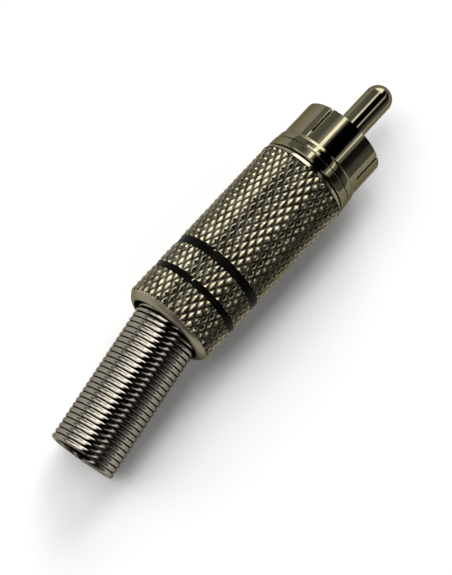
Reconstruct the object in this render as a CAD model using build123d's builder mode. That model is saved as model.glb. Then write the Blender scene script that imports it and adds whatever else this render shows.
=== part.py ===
"""Metal phono (RCA) plug with a knurled screw-on barrel and a spring strain relief.

Lengths are in millimetres. The plug's axis is X, its pin points along +X, and the origin is on the axis
in the plane of the outer contact's front rim, which butts against the panel of the socket. The plug lies
on its side, +Z up. Positions called "from the rim" count backwards, towards -X.
"""

import math
import os

from build123d import *

# Centre pin
pin_diameter = 3.2
pin_reach = 7.7              # from the rim forwards to the tip
nose_steps = 5               # straight steps in the round nose
shank_step = 0.3             # how much thinner the pin is where the insulator grips it, to one side
cup_step = 0.1               # how much thicker its solder cup is; the cup's shoulder holds the pin
cup_wall = 0.5
cup_length = 4.7
cup_floor = 0.9              # solid metal left at the bottom of the cup
scoop_length = 2.4           # side opening of the cup, where the wire is laid in

# Outer contact
sleeve_bore = 8.3
sleeve_wall = 0.9
sleeve_depth = 7.2           # from the rim to the insulator's face
slot_count = 4
slot_width = 0.3
slot_length = 3.45
slot_turn = -34.0            # first slot, in degrees from straight up towards -Y
step_height = 0.16           # how much thicker the root of the sleeve is
step_front = 4.1             # from the rim to the front of that root
step_taper = 0.55
lip_width = 1.1              # collar that the barrel screws up against
lip_front = 5.5              # from the rim to the collar's front edge
seat_step = 0.65             # from the sleeve's bore down to the bore behind the insulator's flange
thread_wall = 1.2            # from that bore out to the outside of the male thread
thread_length = 7.0          # from the collar's rear face to the end of the thread

# Insulator and washer
flange_width = 0.8
boss_wall = 1.3              # rear boss round the pin, which centres the solder tag
washer_overhang = 0.3        # how far the washer reaches over the boss
washer_width = 0.4
fit_gap = 0.02               # between pieces that are pressed together

# Solder tag with its cable clamp
tag_thickness = 0.4
tag_ring_width = 1.0
tag_width = 3.0
tag_gap = 0.1                # between the washer and the strip that passes below it
clamp_gap = 2.0              # from the spring's trapped turns to the rear of the clamp
tag_bend = 0.5
tag_hole = 1.3
tag_hole_place = 3.4         # from the ring to the solder hole
clamp_width = 2.6
clamp_arc = 230.0            # degrees of the clamp's curl

# Barrel
thread_gap = 0.05            # between the male thread's outside and the barrel's bore
barrel_wall = 0.75           # from the bore to the smooth edges
barrel_length = 22.7
barrel_gap = 0.1             # left between barrel and collar when screwed home
collar_recess = 0.17         # how far the collar stays under the barrel's outside
mouth_play = 0.43            # round the spring in the rear hole
face_width = 0.2             # flat ring round the rear hole
rear_wall = 0.9
shoulder_length = 1.0        # rounded rear shoulder
shoulder_turns = ((0.2, 0.48),)    # shares of its length and rise where it turns
bevel_length = 0.75          # front bevel
bevel_height = 0.22
cut_overshoot = 1.0          # how far cutting tools run past a face

# Knurl
knurl_count = 36
knurl_pitch = 1.55           # along the axis, from one diamond to the next
knurl_depth = 0.3
knurl_relief = 0.02          # how far the crests stay under the smooth edges
knurl_turn = 7.0             # where the first crest stands, in degrees from straight up towards -Y

# Colour bands, enamel in turned grooves
front_band_place = 7.75      # from the barrel's rear face to the band
front_band_width = 1.0
rear_band_place = 4.12
rear_band_width = 0.8
band_recess = 0.19           # how far the enamel stays under the smooth edges
band_depth = 0.16            # thickness of the enamel

# Insulating liner
liner_play = 0.45            # round the liner in the barrel's bore
liner_wall = 0.4
liner_front_gap = 0.3        # from the thread's end to the liner
liner_rear_gap = 3.4         # from the barrel's rear wall to the liner, room for the spring's wide turns

# Spring
spring_diameter = 7.74       # outside of the plain turns
wire_diameter = 0.632
wire_swell = 0.01            # how far the square wire's corners pass the round wire, to touch the next turn
spring_reach = 16.3          # from the barrel's rear face to the end of the wire
flare_catch = 0.1            # how far the turns trapped in the barrel reach behind its rear wall
flare_start = 1.4            # from the rear face inwards, where the turns begin to widen
flare_full = 2.1
flare_end = 2.8
spring_swing = 9.3           # how far the loose spring lies over towards -Y, in degrees
spring_droop = 5.6           # how far it hangs down, in degrees, until its end rests on the table
spring_shift_y = -0.2        # its axis at the rear face
spring_shift_z = -0.12
wire_sides = 4
wire_steps = 10              # straight pieces in one turn

# Radii, worked out from the sizes above
pin_radius = pin_diameter / 2
shank_radius = pin_radius - shank_step
cup_radius = pin_radius + cup_step
bore_radius = sleeve_bore / 2
sleeve_radius = bore_radius + sleeve_wall
root_radius = sleeve_radius + step_height
seat_radius = bore_radius - seat_step
thread_radius = seat_radius + thread_wall
shank_hole_radius = shank_radius + fit_gap
boss_radius = shank_radius + boss_wall
washer_radius = boss_radius + washer_overhang
tag_radius = boss_radius + tag_ring_width
tag_drop = washer_radius + tag_gap + tag_thickness / 2
barrel_bore_radius = thread_radius + thread_gap
barrel_radius = barrel_bore_radius + barrel_wall
collar_radius = barrel_radius - collar_recess
crest_radius = barrel_radius - knurl_relief
valley_radius = crest_radius - knurl_depth
band_radius = barrel_radius - band_recess
groove_radius = band_radius - band_depth
mouth_radius = spring_diameter / 2 + mouth_play
face_radius = mouth_radius + face_width
liner_radius = barrel_bore_radius - liner_play
plain_turn_radius = (spring_diameter - wire_diameter) / 2
wide_turn_radius = mouth_radius + flare_catch - wire_diameter / 2

# Places along the axis, worked out from the sizes above
lip_rear_x = -(lip_front + lip_width)
barrel_front_x = lip_rear_x - barrel_gap
barrel_rear_x = barrel_front_x - barrel_length
thread_rear_x = lip_rear_x - thread_length
flange_front_x = -sleeve_depth
flange_rear_x = flange_front_x - flange_width
tag_rear_x = thread_rear_x - tag_thickness
washer_rear_x = tag_rear_x - washer_width
cup_rear_x = washer_rear_x - cup_length
clamp_rear_x = barrel_rear_x + flare_end + clamp_gap
knurl_front_x = barrel_front_x - bevel_length
knurl_rear_x = barrel_rear_x + shoulder_length
front_band_x = barrel_rear_x + front_band_place + front_band_width
rear_band_x = barrel_rear_x + rear_band_place + rear_band_width
liner_front_x = thread_rear_x - liner_front_gap
liner_rear_x = barrel_rear_x + rear_wall + liner_rear_gap


def turned(*outline):
    """Revolve a closed outline of (x, radius) points about the plug's axis, inside a part."""
    with BuildSketch(Plane.XZ) as profile:
        with BuildLine():
            Polyline(*outline, close=True)
        make_face()
    revolve(profile.sketch, axis=Axis.X)


def around(radius, degrees):
    """A point of the YZ plane, turned by the given angle from straight up towards -Y."""
    turn = math.radians(degrees)
    return -radius * math.sin(turn), radius * math.cos(turn)


def knurled_ring(rear_x, front_x):
    """One knurled stretch of the bar, before it is bored: four flat flanks for each diamond."""
    row_length = knurl_pitch / 2
    rows = max(round((front_x - rear_x) / row_length), 1)
    first = round((rear_x - knurl_rear_x) / row_length)
    steps = 2 * knurl_count

    def corner(row, step):
        x = rear_x + (front_x - rear_x) * row / rows
        radius = valley_radius if (first + row + step) % 2 else crest_radius
        y, z = around(radius, knurl_turn + step * 360 / steps)
        return Vector(x, y, z)

    flanks = []
    for row in range(rows):
        for step in range(steps):
            square = [
                corner(row, step),
                corner(row, step + 1),
                corner(row + 1, step + 1),
                corner(row + 1, step),
            ]
            if (first + row + step) % 2:
                square = square[1:] + square[:1]
            crest_a, valley_a, crest_b, valley_b = square
            flanks.append(Face(Wire.make_polygon([crest_a, valley_a, valley_b])))
            flanks.append(Face(Wire.make_polygon([crest_b, valley_b, valley_a])))
    ends = [Face(Wire.make_polygon([corner(row, step) for step in range(steps)])) for row in (0, rows)]
    return Solid(Shell(flanks + ends))


# Barrel: one turned and knurled piece
with BuildPart() as barrel:
    shoulder = [
        (barrel_rear_x + shoulder_length * along, face_radius + (barrel_radius - face_radius) * rise)
        for along, rise in shoulder_turns
    ]
    turned(
        (barrel_rear_x, 0),
        (barrel_rear_x, face_radius),
        *shoulder,
        (knurl_rear_x, barrel_radius),
        (knurl_rear_x, groove_radius),
        (knurl_front_x, groove_radius),
        (knurl_front_x, barrel_radius),
        (barrel_front_x, barrel_radius - bevel_height),
        (barrel_front_x, 0),
    )
    add(knurled_ring(knurl_rear_x, rear_band_x - rear_band_width))
    add(knurled_ring(rear_band_x, front_band_x - front_band_width))
    add(knurled_ring(front_band_x, knurl_front_x))
    with BuildSketch(Plane.XZ):
        with BuildLine():
            Polyline(
                (barrel_front_x + cut_overshoot, 0),
                (barrel_front_x + cut_overshoot, barrel_bore_radius),
                (barrel_rear_x + rear_wall, barrel_bore_radius),
                (barrel_rear_x + rear_wall, mouth_radius),
                (barrel_rear_x - cut_overshoot, mouth_radius),
                (barrel_rear_x - cut_overshoot, 0),
                close=True,
            )
        make_face()
    revolve(axis=Axis.X, mode=Mode.SUBTRACT)
barrel.part.label = "barrel"


def colour_band(front_x, width):
    """One enamel ring, seated between two knurled stretches."""
    turned(
        (front_x, groove_radius),
        (front_x, band_radius),
        (front_x - width, band_radius),
        (front_x - width, groove_radius),
    )


with BuildPart() as front_colour_band:
    colour_band(front_band_x, front_band_width)
front_colour_band.part.label = "front_colour_band"

with BuildPart() as rear_colour_band:
    colour_band(rear_band_x, rear_band_width)
rear_colour_band.part.label = "rear_colour_band"


# Outer contact: collar, slotted sleeve and male thread in one turned piece
with BuildPart() as outer_contact:
    turned(
        (0, sleeve_radius),
        (0, bore_radius),
        (flange_rear_x, bore_radius),
        (flange_rear_x, seat_radius),
        (thread_rear_x, seat_radius),
        (thread_rear_x, thread_radius),
        (lip_rear_x, thread_radius),
        (lip_rear_x, collar_radius),
        (-lip_front, collar_radius),
        (-lip_front, root_radius),
        (-step_front - step_taper, root_radius),
        (-step_front, sleeve_radius),
    )
    with BuildSketch(Plane.YZ.offset(-slot_length)):
        for number in range(slot_count):
            degrees = slot_turn + number * 360 / slot_count
            with Locations(around(bore_radius + sleeve_wall / 2, degrees)):
                Rectangle(slot_width, 2 * sleeve_wall, rotation=degrees)
    extrude(amount=slot_length + cut_overshoot, mode=Mode.SUBTRACT)
outer_contact.part.label = "outer_contact"


# Insulator: moulded plug that carries the pin in the outer contact
with BuildPart() as insulator:
    turned(
        (flange_front_x, shank_hole_radius),
        (flange_front_x, bore_radius - fit_gap),
        (flange_rear_x + fit_gap, bore_radius - fit_gap),
        (flange_rear_x + fit_gap, seat_radius - fit_gap),
        (thread_rear_x + fit_gap, seat_radius - fit_gap),
        (thread_rear_x + fit_gap, boss_radius),
        (tag_rear_x, boss_radius),
        (tag_rear_x, shank_hole_radius),
    )
insulator.part.label = "insulator"


with BuildPart() as insulating_washer:
    turned(
        (tag_rear_x, shank_hole_radius),
        (tag_rear_x, washer_radius),
        (washer_rear_x, washer_radius),
        (washer_rear_x, shank_hole_radius),
    )
insulating_washer.part.label = "insulating_washer"


# Centre pin: round-ended contact in front, solder cup behind
with BuildPart() as centre_pin:
    nose_turns = [math.pi / 2 * step / nose_steps for step in range(nose_steps + 1)]
    nose = [
        (pin_reach - pin_radius + pin_radius * math.cos(turn), pin_radius * math.sin(turn))
        for turn in nose_turns
    ]
    turned(
        *nose,
        (flange_front_x, pin_radius),
        (flange_front_x, shank_radius),
        (washer_rear_x, shank_radius),
        (washer_rear_x, cup_radius),
        (cup_rear_x, cup_radius),
        (cup_rear_x, 0),
    )
    with BuildSketch(Plane.YZ.offset(cup_rear_x)):
        Circle(cup_radius - cup_wall)
    extrude(amount=cup_length - cup_floor, mode=Mode.SUBTRACT)
    with BuildSketch(Plane.YZ.offset(cup_rear_x)):
        with Locations((0, cup_radius)):
            Rectangle(2 * (cup_radius + cut_overshoot), 2 * cup_radius)
    extrude(amount=scoop_length, mode=Mode.SUBTRACT)
centre_pin.part.label = "centre_pin"


# Solder tag: stamped ring, strip and curled cable clamp
with BuildPart() as ground_tag:
    ring_inside = boss_radius + fit_gap
    with BuildSketch(Plane.YZ.offset(thread_rear_x)):
        Circle(tag_radius)
        Circle(ring_inside, mode=Mode.SUBTRACT)
    extrude(amount=-tag_thickness)
    middle_x = thread_rear_x - tag_thickness / 2
    with BuildSketch(Plane.XZ.offset(-tag_width / 2)):
        with BuildLine():
            FilletPolyline(
                (middle_x, -ring_inside - tag_thickness / 2),
                (middle_x, -tag_drop),
                (clamp_rear_x + clamp_width / 2, -tag_drop),
                radius=tag_bend - tag_thickness / 2,
            )
        trace(line_width=tag_thickness)
    extrude(amount=tag_width)
    with Locations((thread_rear_x - tag_hole_place, 0, -tag_drop)):
        Cylinder(tag_hole / 2, 2 * tag_thickness, mode=Mode.SUBTRACT)
    with BuildSketch(Plane.YZ.offset(clamp_rear_x)):
        with BuildLine():
            CenterArc((0, 0), tag_drop, 270 - clamp_arc / 2, clamp_arc)
        trace(line_width=tag_thickness)
    extrude(amount=clamp_width)
ground_tag.part.label = "ground_tag"


# Insulating liner: plastic tube that keeps the joints off the barrel
with BuildPart() as insulating_liner:
    turned(
        (liner_front_x, liner_radius - liner_wall),
        (liner_front_x, liner_radius),
        (liner_rear_x, liner_radius),
        (liner_rear_x, liner_radius - liner_wall),
    )
insulating_liner.part.label = "insulating_liner"


# Strain relief: close-wound spring, lying over in the barrel's rear hole
spring_rear = Vector(-1, 0, 0)
spring_rear = spring_rear.rotate(Axis.Z, spring_swing).rotate(Axis.Y, -spring_droop)
spring_plane = Plane(
    origin=(barrel_rear_x, spring_shift_y, spring_shift_z),
    x_dir=Vector(0, 0, 1) - spring_rear * spring_rear.Z,
    z_dir=spring_rear,
)


def wire_corners(place):
    """Corners of the wire, where its middle is at the given distance along the spring's axis."""
    share = min(max((-place - flare_start) / (flare_full - flare_start), 0), 1)
    radius = plain_turn_radius + (wide_turn_radius - plain_turn_radius) * share
    turn = 2 * math.pi * (place - spring_reach + wire_diameter / 2) / wire_diameter
    outwards = Vector(math.cos(turn), math.sin(turn), 0)
    corners = []
    for side in range(wire_sides):
        angle = 2 * math.pi * side / wire_sides
        reach = (wire_diameter / 2 + wire_swell) * math.cos(angle)
        rise = (wire_diameter / 2 + wire_swell) * math.sin(angle)
        corner = outwards * (radius + reach) + Vector(0, 0, place + rise)
        corners.append(spring_plane.from_local_coords(corner))
    return corners


# The wire as flat triangles between one set of corners and the next
with BuildPart() as strain_relief_spring:
    wire_end = spring_reach - wire_diameter / 2
    count = round((wire_end + flare_end) / wire_diameter * wire_steps)
    sections = [wire_corners(wire_end - number * wire_diameter / wire_steps) for number in range(count + 1)]
    sides = []
    for here, there in zip(sections, sections[1:]):
        for side in range(wire_sides):
            other = (side + 1) % wire_sides
            sides.append(Face(Wire.make_polygon([here[side], here[other], there[other]])))
            sides.append(Face(Wire.make_polygon([here[side], there[other], there[side]])))
    ends = [Face(Wire.make_polygon(sections[0])), Face(Wire.make_polygon(sections[-1]))]
    add(Solid(Shell(sides + ends)))
strain_relief_spring.part.label = "strain_relief_spring"


os.makedirs("parts", exist_ok=True)
for piece in (
    barrel,
    front_colour_band,
    rear_colour_band,
    outer_contact,
    insulator,
    insulating_washer,
    centre_pin,
    ground_tag,
    insulating_liner,
    strain_relief_spring,
):
    export_step(piece.part, f"parts/{piece.part.label}.step")
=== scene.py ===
# %% [markdown]
# # A metal phono plug
#
# The plug lies on a pale table: a slotted sleeve with its pin in front, a knurled barrel with two
# black bands in the middle, and a close-wound spring behind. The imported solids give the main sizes
# and places, and this notebook gives the plug its looks, piece by piece. All shapes are made in
# millimetres and brought to metres at the very end of each piece.

# %% Load the fixed frame
import math
import random

import bmesh
import bpy
from mathutils import Matrix, Vector


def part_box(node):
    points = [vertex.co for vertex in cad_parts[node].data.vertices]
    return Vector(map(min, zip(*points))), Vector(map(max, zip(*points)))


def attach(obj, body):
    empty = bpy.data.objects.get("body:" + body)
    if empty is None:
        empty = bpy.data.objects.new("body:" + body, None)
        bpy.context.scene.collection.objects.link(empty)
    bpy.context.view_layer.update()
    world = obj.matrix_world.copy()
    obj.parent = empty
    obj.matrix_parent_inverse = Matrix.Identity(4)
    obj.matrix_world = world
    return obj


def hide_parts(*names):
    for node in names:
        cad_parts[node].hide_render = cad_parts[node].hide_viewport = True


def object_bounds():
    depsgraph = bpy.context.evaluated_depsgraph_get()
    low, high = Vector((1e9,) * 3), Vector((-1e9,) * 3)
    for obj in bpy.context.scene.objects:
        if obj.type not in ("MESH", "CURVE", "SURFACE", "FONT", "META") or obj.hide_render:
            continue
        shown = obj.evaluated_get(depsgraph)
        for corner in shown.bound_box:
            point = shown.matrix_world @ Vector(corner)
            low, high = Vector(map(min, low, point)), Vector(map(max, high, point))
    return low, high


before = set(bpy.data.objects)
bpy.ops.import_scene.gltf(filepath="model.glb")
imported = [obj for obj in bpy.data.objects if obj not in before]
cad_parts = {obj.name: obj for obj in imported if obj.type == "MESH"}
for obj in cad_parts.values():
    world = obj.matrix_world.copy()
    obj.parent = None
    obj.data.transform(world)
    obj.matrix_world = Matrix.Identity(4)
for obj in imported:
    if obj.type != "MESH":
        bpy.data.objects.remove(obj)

MM = 0.001


def in_mm(place):
    """A place in metres as a short list in millimetres, for the prints."""
    return [round(value / MM, 2) for value in place]


solids_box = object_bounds()
print("Solids reach from", in_mm(solids_box[0]), "to", in_mm(solids_box[1]))

# %% [markdown]
# ## Where the pieces are
#
# The plug's axis is X and the pin points along +X. A turned piece needs only places along that axis
# and radii, and the solids already hold most of them, so they are read from the frame and not typed
# again.

# %% Places and radii read from the solids


def span(node):
    """The rear place, front place and largest radius of a turned solid, in millimetres."""
    low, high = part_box(node)
    return low.x / MM, high.x / MM, high.z / MM


barrel_rear, barrel_front, barrel_radius = span("barrel")
contact_rear, rim, collar_radius = span("outer_contact")
pin_rear, pin_tip, cup_radius = span("centre_pin")
front_band_rear, front_band_front, band_radius = span("front_colour_band")
rear_band_rear, rear_band_front = span("rear_colour_band")[:2]
crest_radius = barrel_radius - 0.02
print("Barrel from", round(barrel_rear, 2), "to", round(barrel_front, 2))
print("The knurl's crests are at", round(crest_radius, 2))

# %% [markdown]
# ## Turning
#
# Most pieces came off a lathe. In the editor one would draw half the section and use the Screw
# modifier or the Spin tool. The Spin operator does the same in code: a section of a few corners is
# spun about the axis, and the doubled corners at the seam and on the axis are merged.

# %% Helpers for turned pieces


def turn_to(place, radius, degrees):
    """A point at a place along the axis, turned from straight up towards -Y."""
    angle = math.radians(degrees)
    return Vector((place, -radius * math.sin(angle), radius * math.cos(angle)))


def turn_of(point):
    """How far a point is turned from straight up towards -Y, in degrees."""
    return math.degrees(math.atan2(-point.y, point.z))


def radius_of(point):
    """How far a point is from the axis."""
    return math.hypot(point.y, point.z)


def set_radius(vert, radius):
    """Move a corner straight out from the axis, or in towards it."""
    growth = radius / radius_of(vert.co)
    vert.co.y *= growth
    vert.co.z *= growth


def lathe(section, steps, start=0.0):
    """Spin a section of (place, radius) corners. One that begins on the axis ends there too."""
    bm = bmesh.new()
    corners = [bm.verts.new(turn_to(place, radius, start)) for place, radius in section]
    pairs = list(zip(corners, corners[1:]))
    begins_off_axis = section[0][1] > 0
    if begins_off_axis:
        pairs.append((corners[-1], corners[0]))
    lines = [bm.edges.new(pair) for pair in pairs]
    bmesh.ops.spin(
        bm, geom=corners + lines, axis=(1, 0, 0), cent=(0, 0, 0), angle=2 * math.pi, steps=steps,
        use_merge=True,
    )
    bmesh.ops.remove_doubles(bm, verts=bm.verts, dist=0.0005)
    bmesh.ops.recalc_face_normals(bm, faces=bm.faces)
    return bm


# %% [markdown]
# ## Edges
#
# No real edge is perfectly sharp, and on plated metal each one carries a thin line of light. A
# narrow bevel on all the edges that turn by more than a given angle makes that line.

# %% Helper for broken edges


def break_edges(bm, width, sharper_than, where=None):
    """Round every edge that turns by more than so many degrees and passes the test, if any."""
    sharp = [
        edge for edge in bm.edges
        if len(edge.link_faces) == 2
        and edge.calc_face_angle() > math.radians(sharper_than)
        and (where is None or where(edge))
    ]
    bmesh.ops.bevel(
        bm, geom=sharp, offset=width, offset_type="OFFSET", affect="EDGES", segments=2, profile=0.5,
        material=-1, clamp_overlap=True,
    )
    print("Broke", len(sharp), "edges")


# %% [markdown]
# ## Finishing a piece
#
# A finished piece's mesh is in metres in the plug's own frame. The piece rides on the body that
# carries it and names the finish that it takes. Its shading is smooth across gentle turns and breaks
# at sharp ones, and a Weighted Normal modifier keeps broad faces even beside their narrow bevels.

# %% Helper that hands a piece over
smooth_up_to = 28            # degrees between two faces that are shaded as one surface


def placed(bm, name, body, material, stands_for):
    """Turn a mesh in millimetres into the finished piece that stands for a solid."""
    for face in bm.faces:
        face.smooth = True
    for edge in bm.edges:
        turn = edge.calc_face_angle() if len(edge.link_faces) == 2 else math.pi
        edge.smooth = turn < math.radians(smooth_up_to)
    bm.transform(Matrix.Scale(MM, 4))
    mesh = bpy.data.meshes.new(name)
    bm.to_mesh(mesh)
    bm.free()
    mesh.materials.append(material)
    piece = bpy.data.objects.new(name, mesh)
    bpy.context.scene.collection.objects.link(piece)
    even = piece.modifiers.new("even_shading", "WEIGHTED_NORMAL")
    even.weight = 75
    even.keep_sharp = True
    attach(piece, body)
    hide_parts(stands_for)
    print(name, "has", len(mesh.polygons), "faces")


# %% [markdown]
# ## Plated metal
#
# The whole plug is plated with bright nickel over brass. It is a mirror with a warm grey tint, so
# its look is mostly what it reflects, and the material adds what a perfect mirror lacks: a slow
# change of tint, patches of thinner polish, and fine turning marks that run round the axis. The
# marks are a noise that changes only along X. Every pattern is read on Object coordinates, so it
# stays on the piece when the piece moves.

# %% Helpers for materials


def blank(name):
    """A new material with its node tree and its main shader."""
    material = bpy.data.materials.new(name)
    material.use_nodes = True
    tree = material.node_tree
    return material, tree, tree.nodes["Principled BSDF"]


def object_place(tree):
    """Where a point of the surface is, in the piece's own metres."""
    return tree.nodes.new("ShaderNodeTexCoord").outputs["Object"]


def noise_of(tree, scale, detail, stretch=(1, 1, 1)):
    """Noise on Object coordinates, stretched by a Mapping node."""
    mapping = tree.nodes.new("ShaderNodeMapping")
    mapping.inputs["Scale"].default_value = stretch
    texture = tree.nodes.new("ShaderNodeTexNoise")
    texture.inputs["Scale"].default_value = scale
    texture.inputs["Detail"].default_value = detail
    tree.links.new(object_place(tree), mapping.inputs["Vector"])
    tree.links.new(mapping.outputs["Vector"], texture.inputs["Vector"])
    return texture.outputs["Fac"]


def ranged(tree, value, low, high, start=0.35, end=0.65):
    """Go from low to high while a value goes from start to end. Noise is mostly in the middle."""
    node = tree.nodes.new("ShaderNodeMapRange")
    node.inputs["From Min"].default_value = start
    node.inputs["From Max"].default_value = end
    node.inputs["To Min"].default_value = low
    node.inputs["To Max"].default_value = high
    tree.links.new(value, node.inputs["Value"])
    return node.outputs["Result"]


def blended(tree, factor, first, second):
    """Mix two colours, each a colour or a socket."""
    node = tree.nodes.new("ShaderNodeMix")
    node.data_type = "RGBA"
    tree.links.new(factor, node.inputs["Factor"])
    for socket, colour in ((node.inputs["A"], first), (node.inputs["B"], second)):
        if isinstance(colour, tuple):
            socket.default_value = (*colour, 1)
        else:
            tree.links.new(colour, socket)
    return node.outputs["Result"]


def bumped(tree, shader, height, strength, distance):
    """Let a height raise the surface by the given distance in metres."""
    bump = tree.nodes.new("ShaderNodeBump")
    bump.inputs["Strength"].default_value = strength
    bump.inputs["Distance"].default_value = distance
    tree.links.new(height, bump.inputs["Height"])
    tree.links.new(bump.outputs["Normal"], shader.inputs["Normal"])


def calculated(tree, operation, *values):
    """A Math node on sockets or numbers."""
    node = tree.nodes.new("ShaderNodeMath")
    node.operation = operation
    for socket, value in zip(node.inputs, values):
        if isinstance(value, (int, float)):
            socket.default_value = value
        else:
            tree.links.new(value, socket)
    return node.outputs[0]


def product(tree, first, *others):
    """All the values multiplied."""
    for other in others:
        first = calculated(tree, "MULTIPLY", first, other)
    return first


# %% [markdown]
# ## Painted shade in the knurl
#
# The floors of the knurl's grooves are painted nearly black, as painted shade, and the crests are
# left bright, so the painted shade depends on how far a point is from the axis. It fills only the
# knurled length of the barrel. The plain rear shoulder behind it is satin, because nothing polishes
# it.

# %% Helper for painted shade in the knurl
# the colour of the painted shade on the floors of the knurl's grooves
groove_shade_colour = (0.012, 0.01, 0.005)
painted_shade_fade = 0.1             # how far along the axis the painted shade takes to begin, in millimetres
painted_shade_roughness = 0.35       # added where the painted shade is thick
satin_fade = 0.35            # how far along the axis the satin finish takes to end, in millimetres
satin_roughness = 0.2        # added where the finish is satin


def with_groove_shade(tree, colour, gloss, rear, front, deep, high):
    """Full painted shade nearer to the axis than the deep radius, and none beyond the high one."""
    parts = tree.nodes.new("ShaderNodeSeparateXYZ")
    tree.links.new(object_place(tree), parts.inputs[0])
    along = parts.outputs["X"]
    squares = [calculated(tree, "POWER", parts.outputs[axis], 2) for axis in ("Y", "Z")]
    distance = calculated(tree, "SQRT", calculated(tree, "ADD", *squares))
    # painted shade: darker towards the groove floors, fading in at both ends of the knurl, broken by
    # a little noise
    groove_shade = product(
        tree,
        ranged(tree, distance, 1, 0, deep * MM, high * MM),
        ranged(tree, along, 0, 1, rear * MM, (rear + painted_shade_fade) * MM),
        ranged(tree, along, 1, 0, (front - painted_shade_fade) * MM, front * MM),
        ranged(tree, noise_of(tree, scale=900, detail=3), 0.75, 1),
    )
    satin = ranged(tree, along, 1, 0, rear * MM, (rear + satin_fade) * MM)
    gloss = calculated(tree, "MULTIPLY_ADD", groove_shade, painted_shade_roughness, gloss)
    gloss = calculated(tree, "MULTIPLY_ADD", satin, satin_roughness, gloss)
    return blended(tree, groove_shade, colour, groove_shade_colour), gloss


# %% [markdown]
# ## The plates
#
# The same plate looks a little different on the turned sleeve, the pressed knurl and the drawn
# wire, so each has its own tint and polish, darker than fresh nickel's. The barrel's plate also gets
# the painted shade in its knurl's grooves. The tin on the solder tag is brighter but dull.

# %% Materials: nickel plate
warm_edge = (0.45, 0.42, 0.36, 1)


def nickel(name, clean, dull, roughness, marks=0, knurl=None):
    """Nickel plate: two tints, a range of roughness, and how deep the turning marks are, in metres.

    Painted shade in a knurl's grooves is given by its rear place, front place, deep radius
    and high radius, in millimetres.
    """
    material, tree, shader = blank(name)
    shader.inputs["Metallic"].default_value = 1.0
    shader.inputs["Specular Tint"].default_value = warm_edge
    patches = noise_of(tree, scale=260, detail=4)
    smears = noise_of(tree, scale=700, detail=3)
    colour = blended(tree, ranged(tree, patches, 0, 1), clean, dull)
    gloss = ranged(tree, smears, *roughness)
    # the knurl's grooves get painted shade
    if knurl:
        colour, gloss = with_groove_shade(tree, colour, gloss, *knurl)
    tree.links.new(colour, shader.inputs["Base Color"])
    tree.links.new(gloss, shader.inputs["Roughness"])
    if marks:
        rings = noise_of(tree, scale=16000, detail=2, stretch=(1, 0.02, 0.02))
        bumped(tree, shader, rings, strength=0.5, distance=marks)
    print("Plate:", name)
    return material


sleeve_plate = nickel(
    "sleeve_plate", (0.185, 0.17, 0.11), (0.155, 0.14, 0.09), (0.06, 0.1), marks=0.0000006,
)
# the knurled length and the radii over which the grooves are painted dark as shade
knurl_shade_zone = (barrel_rear + 0.65, barrel_front - 0.42, crest_radius - 0.245, crest_radius - 0.145)
barrel_plate = nickel(
    "barrel_plate", (0.27, 0.245, 0.175), (0.225, 0.2, 0.14), (0.08, 0.13), marks=0.0000004,
    knurl=knurl_shade_zone,
)
spring_plate = nickel("spring_plate", (0.26, 0.24, 0.2), (0.225, 0.205, 0.17), (0.08, 0.13))
tag_tin = nickel("tag_tin", (0.52, 0.51, 0.47), (0.44, 0.43, 0.39), (0.28, 0.42))

# %% [markdown]
# ## Enamel and plastic
#
# The bands are black enamel. It is glossy but not even, and a nick in it lets the metal show: a
# small ball at the enamel's surface whose edge a noise makes ragged. The plastics inside are
# moulded: a slight cloud of tint and a fine pebble are enough.

# %% Materials: enamel and plastics
bare_metal = (0.5, 0.5, 0.42)
pebble_height = 0.000004     # in metres


def nicked(tree, tint, point, size):
    """Let bare metal show round a point. The size is in millimetres, as the point is."""
    reach = tree.nodes.new("ShaderNodeVectorMath")
    reach.operation = "DISTANCE"
    reach.inputs[1].default_value = point * MM
    tree.links.new(object_place(tree), reach.inputs[0])
    flakes = noise_of(tree, scale=7000, detail=2)
    ragged = ranged(tree, flakes, -0.5 * size * MM, 0.5 * size * MM)
    edge = calculated(tree, "ADD", reach.outputs["Value"], ragged)
    return blended(tree, ranged(tree, edge, 1, 0, 0.8 * size * MM, size * MM), tint, bare_metal)


def moulded(name, colour, darker, roughness, gloss=0.5, nicks=()):
    """Plastic or enamel with a faint cloud of tint, a fine pebble and bright nicks."""
    material, tree, shader = blank(name)
    shader.inputs["Specular IOR Level"].default_value = gloss
    cloud = noise_of(tree, scale=400, detail=4)
    tint = blended(tree, ranged(tree, cloud, 0, 1), colour, darker)
    for point, size in nicks:
        tint = nicked(tree, tint, point, size)
    tree.links.new(tint, shader.inputs["Base Color"])
    grain = noise_of(tree, scale=9000, detail=2)
    tree.links.new(ranged(tree, grain, *roughness), shader.inputs["Roughness"])
    bumped(tree, shader, grain, strength=0.4, distance=pebble_height)
    print("Finish:", name, "with", len(nicks), "nicks")
    return material


band_nicks = (
    (turn_to(rear_band_front - 0.1, band_radius, -14), 0.13),
    (turn_to(rear_band_front - 0.3, band_radius, -14.5), 0.08),
    (turn_to(front_band_front - 0.1, band_radius, -19), 0.07),
)
band_enamel = moulded(
    "band_enamel", (0.001, 0.001, 0.001), (0.003, 0.003, 0.002), (0.3, 0.45), gloss=0.02,
    nicks=band_nicks,
)
insulator_plastic = moulded(
    "insulator_plastic", (0.02, 0.02, 0.021), (0.03, 0.03, 0.03), (0.35, 0.5),
)
liner_plastic = moulded("liner_plastic", (0.78, 0.77, 0.72), (0.70, 0.69, 0.63), (0.4, 0.55))

# %% [markdown]
# ## Cutting
#
# A Boolean modifier does what a saw or a form tool does. It needs an object for each mesh, and its
# result is taken into a new mesh, so that the edges can be broken afterwards.

# %% Helpers for cutting


def as_object(bm, name):
    """A scratch object that holds a mesh, for a modifier to work on."""
    mesh = bpy.data.meshes.new(name)
    bm.to_mesh(mesh)
    bm.free()
    scratch = bpy.data.objects.new(name, mesh)
    bpy.context.scene.collection.objects.link(scratch)
    return scratch


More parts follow.
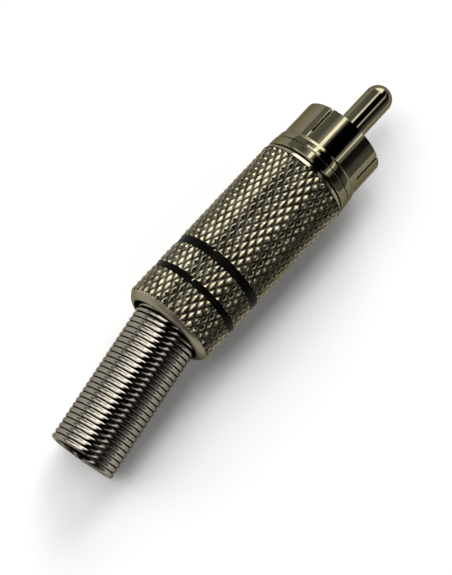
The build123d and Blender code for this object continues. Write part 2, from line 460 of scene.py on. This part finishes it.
def machined(bm, tool, operation):
    """The first mesh after a Boolean operation with the second."""
    work = as_object(bm, "work")
    other = as_object(tool, "tool")
    cut = work.modifiers.new("cut", "BOOLEAN")
    cut.object = other
    cut.operation = operation
    cut.solver = "EXACT"
    result = bmesh.new()
    result.from_object(work, bpy.context.evaluated_depsgraph_get())
    bpy.data.objects.remove(work)
    bpy.data.objects.remove(other)
    return result


# %% [markdown]
# ## The knurl
#
# Knurling presses two sets of spiral grooves into the barrel, and what is left between them is a
# field of small pyramids, 36 round the barrel, each row half a step on from the last. It starts
# here as a plain bar with a ring of 72 corners at each row. The barrel is turned from it further on.

# %% Spin the bar
diamonds_round = 36
row_pitch = 0.7757
first_crest = -26.83         # place of one row of crests
first_turn = -43.0           # turn of one crest in that row
valley_radius = crest_radius - 0.3
knurl_front = barrel_front - 0.45
row_numbers = range(
    math.ceil((knurl_front - first_crest) / row_pitch) + 1,
    math.floor((barrel_rear - first_crest) / row_pitch) - 1,
    -1,
)
row_places = [first_crest + number * row_pitch for number in row_numbers]
bar_section = [(place, crest_radius) for place in row_places]
bar = lathe([(row_places[0], 0), *bar_section, (row_places[-1], 0)], 2 * diamonds_round, first_turn)
print("The bar has", len(row_places), "rows")

# %% [markdown]
# ## Pressing the diamonds
#
# Every second corner is a crest and the others are pressed down, and each square is split from one
# low corner to the other, which is where a groove runs. No two real diamonds are quite alike, so
# each corner is a hair off its place. The ridges are rounded, as pressed metal is.

# %% Press the diamonds
random.seed(11)
off_place = 0.02
crest_wear = 0.025
valley_scatter = 0.01
low_corners = []
ring_corners = [vert for vert in bar.verts if radius_of(vert.co) > 1]    # all but the ends' middles
for vert in ring_corners:
    row = round((vert.co.x - first_crest) / row_pitch)
    step = round((turn_of(vert.co) - first_turn) * diamonds_round / 180)
    if (row + step) % 2:
        radius = valley_radius + random.uniform(-valley_scatter, valley_scatter)
        low_corners.append(vert)
    else:
        radius = crest_radius + random.uniform(-crest_wear, 0.0)
    set_radius(vert, radius)
    vert.co.x += random.uniform(-off_place, off_place)
bmesh.ops.connect_verts(bar, verts=low_corners)


def on_ridge(edge):
    """A ridge of the knurl stands out, and neither of its faces is an end of the bar."""
    return edge.is_convex and all(abs(face.normal.x) < 0.9 for face in edge.link_faces)


break_edges(bar, 0.035, 15, on_ridge)

# %% [markdown]
# ## The front of the bar
#
# The barrel's front bevel is smooth, so there the bar has to be thicker than the barrel. The bar is
# cut off where the knurl begins, and the open ring is extruded outwards and then forwards.

# %% Thicken the front of the bar
bar_radius = 6.0


def drawn_out(bm, ring, radius, place):
    """Extrude an open ring of edges to a radius and a place. Gives the new ring."""
    grown = bmesh.ops.extrude_edge_only(bm, edges=ring)["geom"]
    for vert in [item for item in grown if isinstance(item, bmesh.types.BMVert)]:
        set_radius(vert, radius)
        vert.co.x = place
    return [item for item in grown if isinstance(item, bmesh.types.BMEdge) and item.is_boundary]


bmesh.ops.bisect_plane(
    bar, geom=bar.verts[:] + bar.edges[:] + bar.faces[:], dist=0.0001, plane_co=(knurl_front, 0, 0),
    plane_no=(1, 0, 0), clear_outer=True,
)
ring = drawn_out(bar, [edge for edge in bar.edges if edge.is_boundary], bar_radius, knurl_front)
ring = drawn_out(bar, ring, bar_radius, barrel_front + 1)
bmesh.ops.holes_fill(bar, edges=ring)
bmesh.ops.recalc_face_normals(bar, faces=bar.faces)
open_edges = sum(edge.is_boundary for edge in bar.edges)
print("The knurled bar has", len(bar.faces), "faces and", open_edges, "open edges")

# %% [markdown]
# ## The threads
#
# The barrel screws onto the contact. A thread can be cut by pushing each corner of a finely divided
# cylinder in or out by how far it is from the spiral's crest. Both threads share one formula, half
# a pitch apart, so they mesh.

# %% Helper for both threads
thread_pitch = 0.75
thread_rows = 8              # rows of corners in one pitch


def thread_wave(point, shift):
    """1 on the crest of a right-hand spiral, 0 at its root."""
    along = point.x / thread_pitch - turn_of(point) / 360 + shift
    return abs(2 * (along - math.floor(along)) - 1)


def thread_section(rear, front, turns, radius):
    """The corners of a section that a thread is cut from, listed from the rear to the front."""
    rows = turns * thread_rows
    return [(rear + (front - rear) * row / rows, radius) for row in range(rows + 1)]


def cut_thread(bm, rear, front, radius, depth, shift=0.0):
    """Press a spiral into a cylinder. With a negative depth it stands inwards, as in a bore."""
    for vert in bm.verts:
        place = vert.co.x
        on_cylinder = abs(radius_of(vert.co) - radius) < 0.01
        if on_cylinder and rear < place < front:
            fade = min(1, (front - place) / thread_pitch, (place - rear) / thread_pitch)
            set_radius(vert, radius + thread_wave(vert.co, shift) * depth * fade)


# %% [markdown]
# ## The barrel
#
# One piece of brass from front bevel to rear wall, so its section runs down the outside, through
# the two grooves for the bands and the rounded shoulder, round the rear hole and back up the bore.
# Where it is knurled the section lies just outside the crests, and what this blank and the knurled
# bar share is the barrel. The shoulder, as from a form tool, cuts into the last diamonds.

# %% Build the barrel
large_steps = 144            # flats round a large piece
bore_radius = 4.75
bore_bevel = 0.15
hole_radius = 4.3
hole_bevel = 0.08
rear_wall = 0.9
groove_floor = 5.15
blank_radius = crest_radius + 0.05
female_turns = 7
female_front = barrel_front - 0.25
female_rear = female_front - female_turns * thread_pitch
front_bevel = ((0.0, 5.22), (0.05, 5.29), (0.2, 5.355))              # behind the barrel's front
knurl_start = ((-0.02, 5.43), (0.05, 5.46), (0.12, blank_radius))    # behind the knurl's front
shoulder = (                                                         # before the barrel's rear
    (1.25, blank_radius), (1.06, 5.46), (0.88, 5.38), (0.7, 5.28), (0.52, 5.16), (0.35, 5.02),
    (0.2, 4.86), (0.08, 4.68), (0.0, 4.5),
)
barrel_section = [
    (barrel_front, bore_radius + bore_bevel),
    *[(barrel_front - place, radius) for place, radius in front_bevel],
    *[(knurl_front - place, radius) for place, radius in knurl_start],
    (front_band_front, blank_radius),
    (front_band_front, groove_floor),
    (front_band_rear, groove_floor),
    (front_band_rear, blank_radius),
    (rear_band_front, blank_radius),
    (rear_band_front, groove_floor),
    (rear_band_rear, groove_floor),
    (rear_band_rear, blank_radius),
    *[(barrel_rear + place, radius) for place, radius in shoulder],
    (barrel_rear, hole_radius + hole_bevel),
    (barrel_rear + hole_bevel, hole_radius),
    (barrel_rear + rear_wall, hole_radius),
    (barrel_rear + rear_wall, bore_radius),
    *thread_section(female_rear, female_front, female_turns, bore_radius),
    (barrel_front - bore_bevel, bore_radius),
]
barrel_blank = lathe(barrel_section, large_steps)
cut_thread(barrel_blank, female_rear, female_front, bore_radius, -0.32, shift=0.5)
knurled_barrel = machined(barrel_blank, bar, "INTERSECT")
placed(knurled_barrel, "knurled_barrel", "barrel", barrel_plate, "barrel")

# %% [markdown]
# ## The bands
#
# Two rings of enamel lie in the grooves, a little below the crests. Their rims are rounded where
# the enamel drew back as it dried.

# %% Build the bands
rim_gap = 0.015
rim_drop = 0.04
rim_width = 0.08
floor_gap = 0.005


def enamel_ring(front, rear):
    """A ring that fills a groove up to the enamel's surface."""
    return lathe([
        (front - rim_gap, groove_floor + floor_gap),
        (front - rim_gap, band_radius - rim_drop),
        (front - rim_width, band_radius),
        (rear + rim_width, band_radius),
        (rear + rim_gap, band_radius - rim_drop),
        (rear + rim_gap, groove_floor + floor_gap),
    ], large_steps)


front_ring = enamel_ring(front_band_front, front_band_rear)
placed(front_ring, "front_enamel", "barrel", band_enamel, "front_colour_band")
rear_ring = enamel_ring(rear_band_front, rear_band_rear)
placed(rear_ring, "rear_enamel", "barrel", band_enamel, "rear_colour_band")

# %% [markdown]
# ## The outer contact
#
# The sleeve, its thicker root, a narrow neck, the collar and the male thread are one turned piece.
# The barrel stops against the collar.

# %% Turn the outer contact
sleeve_radius = 5.05
sleeve_bore = 4.15
root_radius = 5.21
root_front = -4.65
root_rear = -5.34
neck_radius = 5.02
collar_front = -5.5
collar_rear = -6.5
male_radius = 4.32
male_turns = 8
male_front = -7.2
tail_length = 0.35
tail_drop = 0.2
male_rear = contact_rear + tail_length
seat_bore = 3.5
seat_place = -8.0
root_cone = ((0.35, sleeve_radius), (0.27, sleeve_radius + 0.03), (0.09, root_radius - 0.02))
collar_edges = (             # behind the collar's front
    (0.0, collar_radius - 0.03), (0.05, collar_radius), (0.8, collar_radius),
    (1.0, collar_radius - 0.12),
)
contact_section = [
    (rim, sleeve_bore),
    (rim, sleeve_radius),
    *[(root_front + place, radius) for place, radius in root_cone],
    (root_front, root_radius),
    (root_rear, root_radius),
    (root_rear - 0.02, neck_radius),
    (collar_front, neck_radius),
    *[(collar_front - place, radius) for place, radius in collar_edges],
    (collar_rear, male_radius),
    *reversed(thread_section(male_rear, male_front, male_turns, male_radius)),
    (contact_rear, male_radius - tail_drop),
    (contact_rear, seat_bore),
    (seat_place, seat_bore),
    (seat_place, sleeve_bore),
]
contact = lathe(contact_section, large_steps)
cut_thread(contact, male_rear, male_front, male_radius, 0.36)
print("The male thread runs from", round(male_rear, 2), "to", male_front)

# %% [markdown]
# ## The slots
#
# Four fine saw cuts let the sleeve's fingers spring. A Boolean modifier cuts them, as the saw does,
# and the edges are broken after it, in front of the thread only.

# %% Saw the slots
slot_width = 0.3
slot_length = 3.45
first_slot = -34             # its turn, in degrees
slots = 4
overrun = 1                  # how far the saw stands out in front
blade_height = 2
blades = bmesh.new()
for number in range(slots):
    blade = bmesh.ops.create_cube(blades, size=1)["verts"]
    middle = ((overrun - slot_length) / 2, 0, (sleeve_bore + sleeve_radius) / 2)
    turned = Matrix.Rotation(math.radians(first_slot + number * 360 / slots), 3, "X")
    bmesh.ops.scale(blades, vec=(slot_length + overrun, slot_width, blade_height), verts=blade)
    bmesh.ops.translate(blades, vec=middle, verts=blade)
    bmesh.ops.rotate(blades, cent=(0, 0, 0), matrix=turned, verts=blade)
contact = machined(contact, blades, "DIFFERENCE")
thread_limit = collar_rear - 0.2
break_edges(contact, 0.03, 35, lambda edge: min(vert.co.x for vert in edge.verts) > thread_limit)
placed(
    contact, "slotted_contact", "contact_assembly", sleeve_plate, "outer_contact",
)

# %% [markdown]
# ## The centre pin
#
# A turned pin with a round nose in front and a cup for the solder behind. The nose is a quarter of
# a circle in the section. The cup's upper side is cut away, so that the wire can be laid in.

# %% Build the centre pin
pin_radius = 1.6
shank_radius = 1.3
shank_front = -7.2
shank_rear = -14.4
cup_bore = 1.2
cup_depth = 3.8
scoop_reach = 2.4            # how far the cup is open above, from its rear end
scoop_size = Vector((3.4, 5, 2))
nose_steps = 12
nose_angles = [math.radians(90 * step / nose_steps) for step in range(1, nose_steps + 1)]
nose_centre = pin_tip - pin_radius
pin_section = [
    (pin_tip, 0),
    *[(nose_centre + pin_radius * math.cos(a), pin_radius * math.sin(a)) for a in nose_angles],
    (shank_front, pin_radius),
    (shank_front, shank_radius),
    (shank_rear, shank_radius),
    (shank_rear, cup_radius),
    (pin_rear, cup_radius),
    (pin_rear, cup_bore),
    (pin_rear + cup_depth, cup_bore),
    (pin_rear + cup_depth, 0),
]
scoop = bmesh.new()
scoop_middle = Vector((pin_rear + scoop_reach - scoop_size.x / 2, 0, scoop_size.z / 2))
bmesh.ops.create_cube(scoop, size=1)
bmesh.ops.scale(scoop, vec=scoop_size, verts=scoop.verts)
bmesh.ops.translate(scoop, vec=scoop_middle, verts=scoop.verts)
small_steps = 72             # flats round a small piece
pin = machined(lathe(pin_section, small_steps), scoop, "DIFFERENCE")
break_edges(pin, 0.06, 40)
placed(pin, "round_nosed_pin", "contact_assembly", sleeve_plate, "centre_pin")

# %% [markdown]
# ## The spring
#
# A round wire wound close, turn against turn. The Spin operator with a step along its axis winds
# it: a circle of wire is spun about the spring's axis and moves on by one wire thickness each turn.
# Winding has pressed the turns a little flat where they touch, so the circle is squared slightly.
# The spring is wound about Z, from its rear end towards the barrel.

# %% Wind the spring
wire = 0.632
wire_radius = wire / 2 - 0.004       # leaves a hair between the turns
flatness = 2.5                       # 2 is a round wire
spring_radius = 3.87
spring_reach = 16.3                  # behind the barrel
flare_end = 2.8                      # in front of the barrel's rear face, as the next two places
flare_full = 2.1
flare_start = 1.4
steps_round = 48
rear_turn = spring_reach - wire / 2
turn_steps = round((rear_turn + flare_end) / wire * steps_round)
spring = bmesh.new()
bmesh.ops.create_circle(spring, cap_ends=False, radius=wire_radius, segments=16)
for vert in spring.verts:
    share_x, share_y = abs(vert.co.x) / vert.co.length, abs(vert.co.y) / vert.co.length
    vert.co /= (share_x ** flatness + share_y ** flatness) ** (1 / flatness)
upright = Matrix.Rotation(math.radians(90), 3, "X")
bmesh.ops.rotate(spring, cent=(0, 0, 0), matrix=upright, verts=spring.verts)
bmesh.ops.translate(spring, vec=(spring_radius - wire / 2, 0, rear_turn), verts=spring.verts)
bmesh.ops.spin(
    spring, geom=spring.verts[:] + spring.edges[:], axis=(0, 0, -1), cent=(0, 0, 0),
    dvec=(0, 0, -wire / steps_round), angle=turn_steps / steps_round * 2 * math.pi,
    steps=turn_steps,
)
bmesh.ops.holes_fill(spring, edges=[edge for edge in spring.edges if edge.is_boundary])
bmesh.ops.recalc_face_normals(spring, faces=spring.faces)
print("The spring has", round(turn_steps / steps_round, 1), "turns")

# %% [markdown]
# ## How the spring is held
#
# Its front turns are opened out, because they sit inside the barrel's rear wall and hold the spring
# in. Last, the spring is laid over to where it rests: to one side in its hole, down to the table.

# %% Open the front turns and lay the spring over
flare_radius = 4.4
swing = 9.3                  # degrees to the side
droop = 5.6                  # degrees down
spring_place = Vector((barrel_rear, -0.2, -0.12))
for vert in spring.verts:
    inwards = -vert.co.z
    share = min(max((inwards - flare_start) / (flare_full - flare_start), 0), 1)
    distance = math.hypot(vert.co.x, vert.co.y)
    growth = (distance + (flare_radius - spring_radius) * share) / distance
    vert.co.x *= growth
    vert.co.y *= growth
down = Matrix.Rotation(math.radians(-droop), 3, "Y")
aside = Matrix.Rotation(math.radians(swing), 3, "Z")
rearwards = down @ aside @ Vector((-1, 0, 0))
upwards = (Vector((0, 0, 1)) - rearwards * rearwards.z).normalized()
sideways = rearwards.cross(upwards)
lay = Matrix((upwards, sideways, rearwards)).transposed().to_4x4()
spring.transform(Matrix.Translation(spring_place) @ lay)
placed(
    spring, "wound_spring", "strain_relief", spring_plate, "strain_relief_spring",
)
low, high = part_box("strain_relief_spring")
print("The spring's solid reaches from", in_mm(low), "to", in_mm(high))

# %% [markdown]
# ## The pieces inside
#
# The insulator, its washer, the solder tag and the liner have their true shape in the solids
# already. They only need their finish.

# %% Finish the inner solids
for node, finish in (
    ("insulator", insulator_plastic),
    ("insulating_washer", insulator_plastic),
    ("ground_tag", tag_tin),
    ("insulating_liner", liner_plastic),
):
    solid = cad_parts[node]
    solid.data.materials.clear()
    solid.data.materials.append(finish)
    print(node, "takes", finish.name)

# %% [markdown]
# ## The table
#
# The photograph's ground is plain white. The table is a sheet of almost white paper that gets its
# light from the room and the lamps and keeps the plug's shadow, and the metal reflects it. Nothing
# but its colour makes it white.

# %% Build the table
table_height = solids_box[0].z
table_reach = 2.0            # in metres
ground = bmesh.new()
bmesh.ops.create_grid(ground, x_segments=2, y_segments=2, size=table_reach)
bmesh.ops.translate(ground, vec=(0, 0, table_height), verts=ground.verts)
ground_mesh = bpy.data.meshes.new("table")
ground.to_mesh(ground_mesh)
ground.free()
table = bpy.data.objects.new("table", ground_mesh)
bpy.context.scene.collection.objects.link(table)

table_paint, tree, shader = blank("table_paint")
shader.inputs["Base Color"].default_value = (0.92, 0.92, 0.92, 1)
shader.inputs["Roughness"].default_value = 0.9
shader.inputs["Specular IOR Level"].default_value = 0.0
table.data.materials.append(table_paint)
print("The table is at", round(table_height / MM, 2))

# %% [markdown]
# ## The room
#
# A mirror shows the room. Seen along the plug's side the room is a set of long bands: a bright
# stretch on the left, a dark one overhead where the camera stands, a second bright one, and calm
# grey walls. A colour ramp on the angle round the X axis paints them into the world.

# %% Paint the bands of the room
room = bpy.data.worlds.new("room")
bpy.context.scene.world = room
room.use_nodes = True
tree = room.node_tree
looking = tree.nodes.new("ShaderNodeTexCoord")
axes = tree.nodes.new("ShaderNodeSeparateXYZ")
tree.links.new(looking.outputs["Generated"], axes.inputs[0])
forwards, left, up = (axes.outputs[axis] for axis in "XYZ")
roll = calculated(tree, "ARCTAN2", calculated(tree, "MULTIPLY", left, -1), up)
share = calculated(tree, "ADD", calculated(tree, "DIVIDE", roll, 2 * math.pi), 0.5)
ramp = tree.nodes.new("ShaderNodeValToRGB")
tree.links.new(share, ramp.inputs["Fac"])
room_bands = (               # degrees from straight up towards -Y, and brightness
    (-180, 0.4), (-100, 0.4), (-70, 0.5), (-60, 0.4), (-54, 0.33), (-47, 0.33), (-41, 0.45),
    (-36, 1.0), (-18, 0.7), (-15, 0.0), (22, 0.0), (24, 0.7), (38, 0.6), (42, 0.02), (60, 0.04),
    (68, 0.2), (80, 0.3), (104, 0.24), (180, 0.2),
)
stops = ramp.color_ramp.elements
while len(stops) < len(room_bands):
    stops.new(0.5)
for stop, (degrees, level) in zip(stops, room_bands):
    stop.position = degrees / 360 + 0.5
    stop.color = (level, level, level, 1)
print("The room has", len(room_bands), "stops round the plug's axis")

# %% [markdown]
# ## The windows
#
# Bands alone give a face the same light whether it is tipped forwards or back. Three windows on
# the left stand in only a part of the room's length: one ahead of the plug, one beside it and a
# dimmer one low beside its rear. The faces of the knurl that look that way catch them, and their
# neighbours stay dark. Each window is a product of soft edges, which rise or fall over a short range.

# %% Add the windows


def rising(value, start, end):
    """0 before the start and 1 after the end."""
    return ranged(tree, value, 0, 1, start, end)


def falling(value, start, end):
    """1 before the start and 0 after the end."""
    return ranged(tree, value, 1, 0, start, end)


def between(low_start, low_end, high_start, high_end):
    """Only between two angles round the plug's axis, each reached over a few degrees."""
    edges = [math.radians(degrees) for degrees in (low_start, low_end, high_start, high_end)]
    return product(tree, rising(roll, *edges[:2]), falling(roll, *edges[2:]))


window_ahead = product(
    tree, rising(forwards, 0.5, 0.62), rising(left, 0.1, 0.2), rising(up, 0.04, 0.14),
)
window_low = product(
    tree, rising(forwards, -0.75, -0.55), falling(forwards, -0.2, -0.1),
    between(-80, -70, -48, -44),
)
window_beside = product(
    tree, rising(forwards, -0.75, -0.55), falling(forwards, 0.1, 0.24),
    between(-50, -46, -14, -10),
)
room_light = ramp.outputs["Color"]
for window, brightness in ((window_ahead, 5.4), (window_low, 2.6), (window_beside, 3.6)):
    room_light = blended(tree, window, room_light, (brightness, brightness, brightness))
background = tree.nodes["Background"]
tree.links.new(room_light, background.inputs["Color"])
background.inputs["Strength"].default_value = 1.0

# %% [markdown]
# ## The lamps
#
# Two long lamps lie over the plug, along its axis. They draw the narrow bright streaks on sleeve,
# pin and spring, and they throw the soft shadow on the table.

# %% Hang the lamps
lamp_distance = 0.6


def strip_lamp(name, degrees, width, length, radiance, along):
    """A lamp along the X axis, at an angle from straight up towards -Y, so many degrees wide."""
    light = bpy.data.lights.new(name, "AREA")
    light.shape = "RECTANGLE"
    light.size = length
    light.size_y = 2 * lamp_distance * math.tan(math.radians(width / 2))
    light.energy = radiance * math.pi * light.size * light.size_y
    lamp = bpy.data.objects.new(name, light)
    bpy.context.scene.collection.objects.link(lamp)
    turned = Matrix.Rotation(math.radians(degrees), 4, "X")
    raised = Matrix.Translation((0, 0, lamp_distance))
    lamp.matrix_world = Matrix.Translation((along, 0, 0)) @ turned @ raised
    print(name, "at", degrees, "degrees")


strip_lamp("window_strip", -26, 8.5, 0.36, 4.2, along=0.22)
strip_lamp("second_strip", 30, 4, 0.8, 2.6, along=0.1)

# %% [markdown]
# ## The camera
#
# The camera looks down at the plug from behind the spring, as the photographer did. Its place and
# its three directions were found by fitting the sleeve's rim and the barrel's edges in the
# photograph, which is 452 by 575 pixels.

# %% Place the camera
photo_height = 575
focal_pixels = 1900
camera_place = Vector((-76.07, 0.0, 194.22)) * MM
camera_right = Vector((0.6533, -0.7328, 0.1904))
camera_up = Vector((0.7071, 0.6804, 0.1925))
lens = bpy.data.cameras.new("camera")
lens.sensor_width = 36
lens.lens = focal_pixels * lens.sensor_width / photo_height
lens.clip_start = 0.005
lens.clip_end = 20
camera = bpy.data.objects.new("camera", lens)
bpy.context.scene.collection.objects.link(camera)
backwards = camera_right.cross(camera_up).normalized()
turned = Matrix((camera_right, camera_up, backwards)).transposed().to_4x4()
camera.matrix_world = Matrix.Translation(camera_place) @ turned
bpy.context.scene.camera = camera
bpy.context.scene.view_settings.view_transform = "Standard"
print("The lens is", round(lens.lens, 1), "mm")
